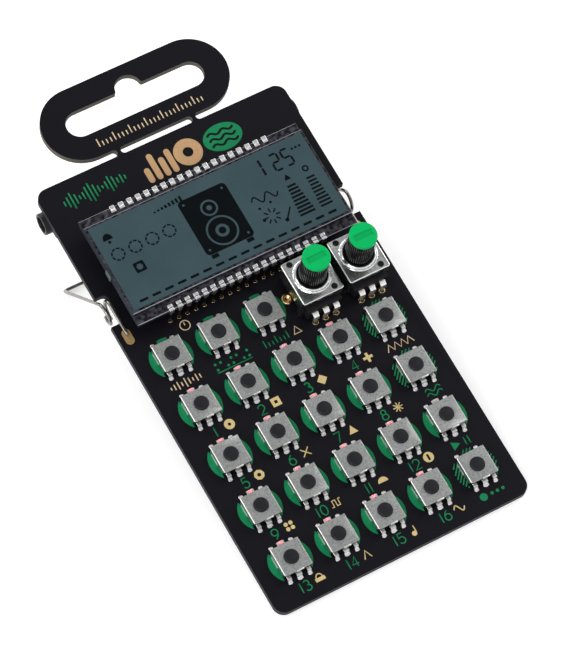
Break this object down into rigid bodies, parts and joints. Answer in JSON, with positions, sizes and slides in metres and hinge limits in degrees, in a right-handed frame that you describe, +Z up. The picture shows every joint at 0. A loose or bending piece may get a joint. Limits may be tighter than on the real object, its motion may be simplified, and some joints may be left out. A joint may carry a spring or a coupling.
{
  "type": "pocket drum machine",
  "caption": "Pocket drum machine on a bare circuit board: clip-on display, rows of small push keys, two capped dials, wire stand, hang tab, side sockets, cells and speaker behind.",
  "frame": {"origin": "middle of the bounding box's base, at table height, with the unit standing on its lower back edge and its foot bar", "axes": "+X to the unit's right, +Y from the lower edge towards the hang tab, +Z up; the board leans back 12.1 degrees from level, so its front faces up and towards the user"},
  "size_m": [0.0618, 0.1226, 0.0303],
  "materials": {
    "board_laminate": "satin solder mask over glass laminate",
    "plated_copper": "gold-plated copper",
    "black_plastic": "moulded, matte",
    "button_plastic": "moulded, fine matte",
    "steel_sheet": "stamped, satin",
    "tinned_metal": "tin-plated, bright",
    "lamp_resin": "cast resin",
    "display_glass": "polished glass",
    "display_film": "smooth film",
    "carbon_track": "printed carbon on laminate",
    "spring_bronze": "rolled strip",
    "cap_plastic": "moulded, semi-gloss",
    "spring_wire": "drawn, nickel-plated",
    "cell_jacket": "printed jacket, plain",
    "cone_film": "thin formed film",
    "magnet_steel": "plated",
    "chip_resin": "moulded epoxy, marking left off",
    "part_ceramic": "fired ceramic"
  },
  "bodies": {
    "unit": {"circuit_board": "board_laminate", "plated_sleeves": "plated_copper", "key_bases": "black_plastic", "key_covers": "steel_sheet", "key_legs": "tinned_metal", "key_domes": "tinned_metal", "key_lights": "lamp_resin", "display_rear_glass": "display_glass", "display_front_glass": "display_glass", "display_rear_film": "display_film", "display_front_film": "display_film", "display_pins": "tinned_metal", "dial_bases": "black_plastic", "dial_covers": "steel_sheet", "dial_terminals": "tinned_metal", "dial_tracks": "carbon_track", "stand_springs": "spring_wire", "socket_left": "black_plastic", "socket_right": "black_plastic", "socket_contacts": "tinned_metal", "cell_upper": "cell_jacket", "cell_lower": "cell_jacket", "cell_clips": "tinned_metal", "speaker_frame": "black_plastic", "speaker_cone": "cone_film", "speaker_magnet": "magnet_steel", "processor": "chip_resin", "sound_converter": "chip_resin", "crystal": "steel_sheet", "small_parts": "part_ceramic"},
    "button_step_01": {"button_step_01": "button_plastic"},
    "button_step_02": {"button_step_02": "button_plastic"},
    "button_step_03": {"button_step_03": "button_plastic"},
    "button_step_04": {"button_step_04": "button_plastic"},
    "button_step_05": {"button_step_05": "button_plastic"},
    "button_step_06": {"button_step_06": "button_plastic"},
    "button_step_07": {"button_step_07": "button_plastic"},
    "button_step_08": {"button_step_08": "button_plastic"},
    "button_step_09": {"button_step_09": "button_plastic"},
    "button_step_10": {"button_step_10": "button_plastic"},
    "button_step_11": {"button_step_11": "button_plastic"},
    "button_step_12": {"button_step_12": "button_plastic"},
    "button_step_13": {"button_step_13": "button_plastic"},
    "button_step_14": {"button_step_14": "button_plastic"},
    "button_step_15": {"button_step_15": "button_plastic"},
    "button_step_16": {"button_step_16": "button_plastic"},
    "button_sound": {"button_sound": "button_plastic"},
    "button_pattern": {"button_pattern": "button_plastic"},
    "button_tempo": {"button_tempo": "button_plastic"},
    "button_function": {"button_function": "button_plastic"},
    "button_effect": {"button_effect": "button_plastic"},
    "button_play": {"button_play": "button_plastic"},
    "button_write": {"button_write": "button_plastic"},
    "dial_left": {"dial_shaft_left": "black_plastic", "dial_cap_left": "cap_plastic", "dial_wiper_left": "spring_bronze"},
    "dial_right": {"dial_shaft_right": "black_plastic", "dial_cap_right": "cap_plastic", "dial_wiper_right": "spring_bronze"},
    "stand": {"stand_bail": "spring_wire"}
  },
  "joints": [
    {"name": "press_step_01", "type": "slide", "parent": "unit", "child": "button_step_01", "axis": [0, 0.2102, -0.9777], "range_m": [0, 0.00025], "stiffness_N_per_m": 5000, "springref_m": -0.00004},
    {"name": "press_step_02", "type": "slide", "parent": "unit", "child": "button_step_02", "axis": [0, 0.2102, -0.9777], "range_m": [0, 0.00025], "stiffness_N_per_m": 5000, "springref_m": -0.00004},
    {"name": "press_step_03", "type": "slide", "parent": "unit", "child": "button_step_03", "axis": [0, 0.2102, -0.9777], "range_m": [0, 0.00025], "stiffness_N_per_m": 5000, "springref_m": -0.00004},
    {"name": "press_step_04", "type": "slide", "parent": "unit", "child": "button_step_04", "axis": [0, 0.2102, -0.9777], "range_m": [0, 0.00025], "stiffness_N_per_m": 5000, "springref_m": -0.00004},
    {"name": "press_step_05", "type": "slide", "parent": "unit", "child": "button_step_05", "axis": [0, 0.2102, -0.9777], "range_m": [0, 0.00025], "stiffness_N_per_m": 5000, "springref_m": -0.00004},
    {"name": "press_step_06", "type": "slide", "parent": "unit", "child": "button_step_06", "axis": [0, 0.2102, -0.9777], "range_m": [0, 0.00025], "stiffness_N_per_m": 5000, "springref_m": -0.00004},
    {"name": "press_step_07", "type": "slide", "parent": "unit", "child": "button_step_07", "axis": [0, 0.2102, -0.9777], "range_m": [0, 0.00025], "stiffness_N_per_m": 5000, "springref_m": -0.00004},
    {"name": "press_step_08", "type": "slide", "parent": "unit", "child": "button_step_08", "axis": [0, 0.2102, -0.9777], "range_m": [0, 0.00025], "stiffness_N_per_m": 5000, "springref_m": -0.00004},
    {"name": "press_step_09", "type": "slide", "parent": "unit", "child": "button_step_09", "axis": [0, 0.2102, -0.9777], "range_m": [0, 0.00025], "stiffness_N_per_m": 5000, "springref_m": -0.00004},
    {"name": "press_step_10", "type": "slide", "parent": "unit", "child": "button_step_10", "axis": [0, 0.2102, -0.9777], "range_m": [0, 0.00025], "stiffness_N_per_m": 5000, "springref_m": -0.00004},
    {"name": "press_step_11", "type": "slide", "parent": "unit", "child": "button_step_11", "axis": [0, 0.2102, -0.9777], "range_m": [0, 0.00025], "stiffness_N_per_m": 5000, "springref_m": -0.00004},
    {"name": "press_step_12", "type": "slide", "parent": "unit", "child": "button_step_12", "axis": [0, 0.2102, -0.9777], "range_m": [0, 0.00025], "stiffness_N_per_m": 5000, "springref_m": -0.00004},
    {"name": "press_step_13", "type": "slide", "parent": "unit", "child": "button_step_13", "axis": [0, 0.2102, -0.9777], "range_m": [0, 0.00025], "stiffness_N_per_m": 5000, "springref_m": -0.00004},
    {"name": "press_step_14", "type": "slide", "parent": "unit", "child": "button_step_14", "axis": [0, 0.2102, -0.9777], "range_m": [0, 0.00025], "stiffness_N_per_m": 5000, "springref_m": -0.00004},
    {"name": "press_step_15", "type": "slide", "parent": "unit", "child": "button_step_15", "axis": [0, 0.2102, -0.9777], "range_m": [0, 0.00025], "stiffness_N_per_m": 5000, "springref_m": -0.00004},
    {"name": "press_step_16", "type": "slide", "parent": "unit", "child": "button_step_16", "axis": [0, 0.2102, -0.9777], "range_m": [0, 0.00025], "stiffness_N_per_m": 5000, "springref_m": -0.00004},
    {"name": "press_sound", "type": "slide", "parent": "unit", "child": "button_sound", "axis": [0, 0.2102, -0.9777], "range_m": [0, 0.00025], "stiffness_N_per_m": 5000, "springref_m": -0.00004},
    {"name": "press_pattern", "type": "slide", "parent": "unit", "child": "button_pattern", "axis": [0, 0.2102, -0.9777], "range_m": [0, 0.00025], "stiffness_N_per_m": 5000, "springref_m": -0.00004},
    {"name": "press_tempo", "type": "slide", "parent": "unit", "child": "button_tempo", "axis": [0, 0.2102, -0.9777], "range_m": [0, 0.00025], "stiffness_N_per_m": 5000, "springref_m": -0.00004},
    {"name": "press_function", "type": "slide", "parent": "unit", "child": "button_function", "axis": [0, 0.2102, -0.9777], "range_m": [0, 0.00025], "stiffness_N_per_m": 5000, "springref_m": -0.00004},
    {"name": "press_effect", "type": "slide", "parent": "unit", "child": "button_effect", "axis": [0, 0.2102, -0.9777], "range_m": [0, 0.00025], "stiffness_N_per_m": 5000, "springref_m": -0.00004},
    {"name": "press_play", "type": "slide", "parent": "unit", "child": "button_play", "axis": [0, 0.2102, -0.9777], "range_m": [0, 0.00025], "stiffness_N_per_m": 5000, "springref_m": -0.00004},
    {"name": "press_write", "type": "slide", "parent": "unit", "child": "button_write", "axis": [0, 0.2102, -0.9777], "range_m": [0, 0.00025], "stiffness_N_per_m": 5000, "springref_m": -0.00004},
    {"name": "turn_dial_left", "type": "hinge", "parent": "unit", "child": "dial_left", "pos_m": [0.0112, -0.00208, 0.0143], "axis": [0, -0.2102, 0.9777], "range_deg": [-150, 150]},
    {"name": "turn_dial_right", "type": "hinge", "parent": "unit", "child": "dial_right", "pos_m": [0.0224, -0.00208, 0.0143], "axis": [0, -0.2102, 0.9777], "range_deg": [-150, 150]},
    {"name": "fold_stand", "type": "hinge", "parent": "unit", "child": "stand", "pos_m": [0, 0.0129, 0.01552], "axis": [1, 0, 0], "range_deg": [-15, 3.5], "stiffness_Nm_per_rad": 0.17, "springref_deg": -2.29}
  ]
}
